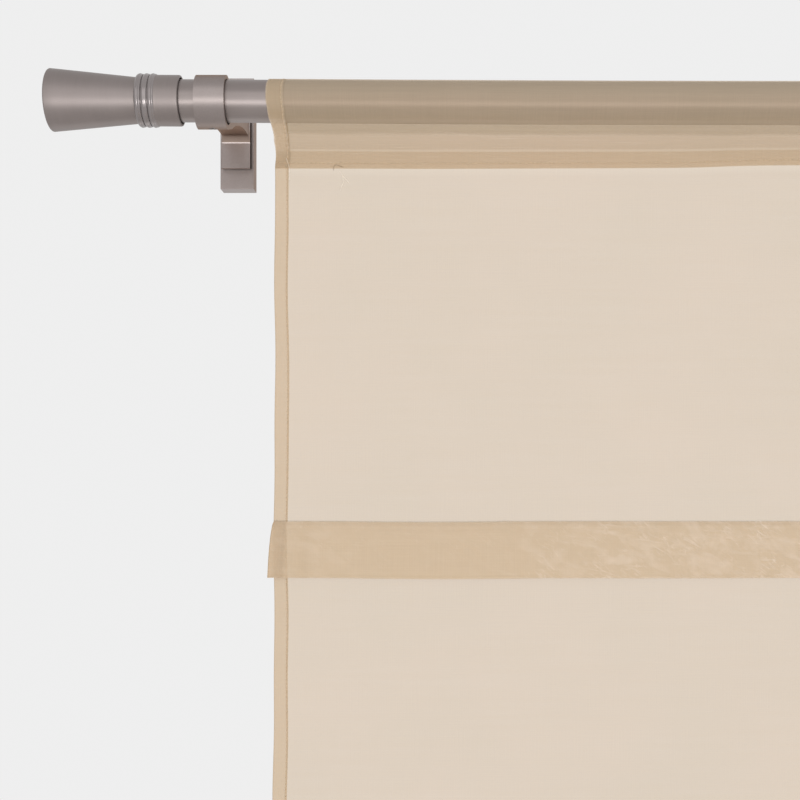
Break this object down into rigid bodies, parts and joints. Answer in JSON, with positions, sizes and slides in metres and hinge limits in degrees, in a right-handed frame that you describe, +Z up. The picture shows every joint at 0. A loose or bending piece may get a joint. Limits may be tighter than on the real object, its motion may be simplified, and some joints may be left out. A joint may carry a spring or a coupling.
{
  "type": "tie-up sheer curtain panel and curtain rod",
  "caption": "Plain sheer curtain panel with a rod pocket and one sewn tuck, hanging from a metal rod with trumpet finials and wall brackets.",
  "frame": {"origin": "on the wall, midway between the two wall brackets and level with the rod's axis", "axes": "+X along the rod to the right as seen from the room, +Y into the wall, +Z up"},
  "size_m": [1.101, 0.1486, 1.4475],
  "materials": {
    "voile": "see-through plain-weave sand voile",
    "satin_nickel": "satin, slightly warm grey nickel",
    "screw_steel": "blackened steel"
  },
  "bodies": {
    "root": {"curtain_panel": "voile", "rod_tube": "satin_nickel", "finial_collar_left": "satin_nickel", "finial_trumpet_left": "satin_nickel", "bracket_arm_left": "satin_nickel", "bracket_screw_left": "screw_steel", "wall_plate_left": "satin_nickel", "finial_collar_right": "satin_nickel", "finial_trumpet_right": "satin_nickel", "bracket_arm_right": "satin_nickel", "bracket_screw_right": "screw_steel", "wall_plate_right": "satin_nickel"}
  },
  "joints": []
}
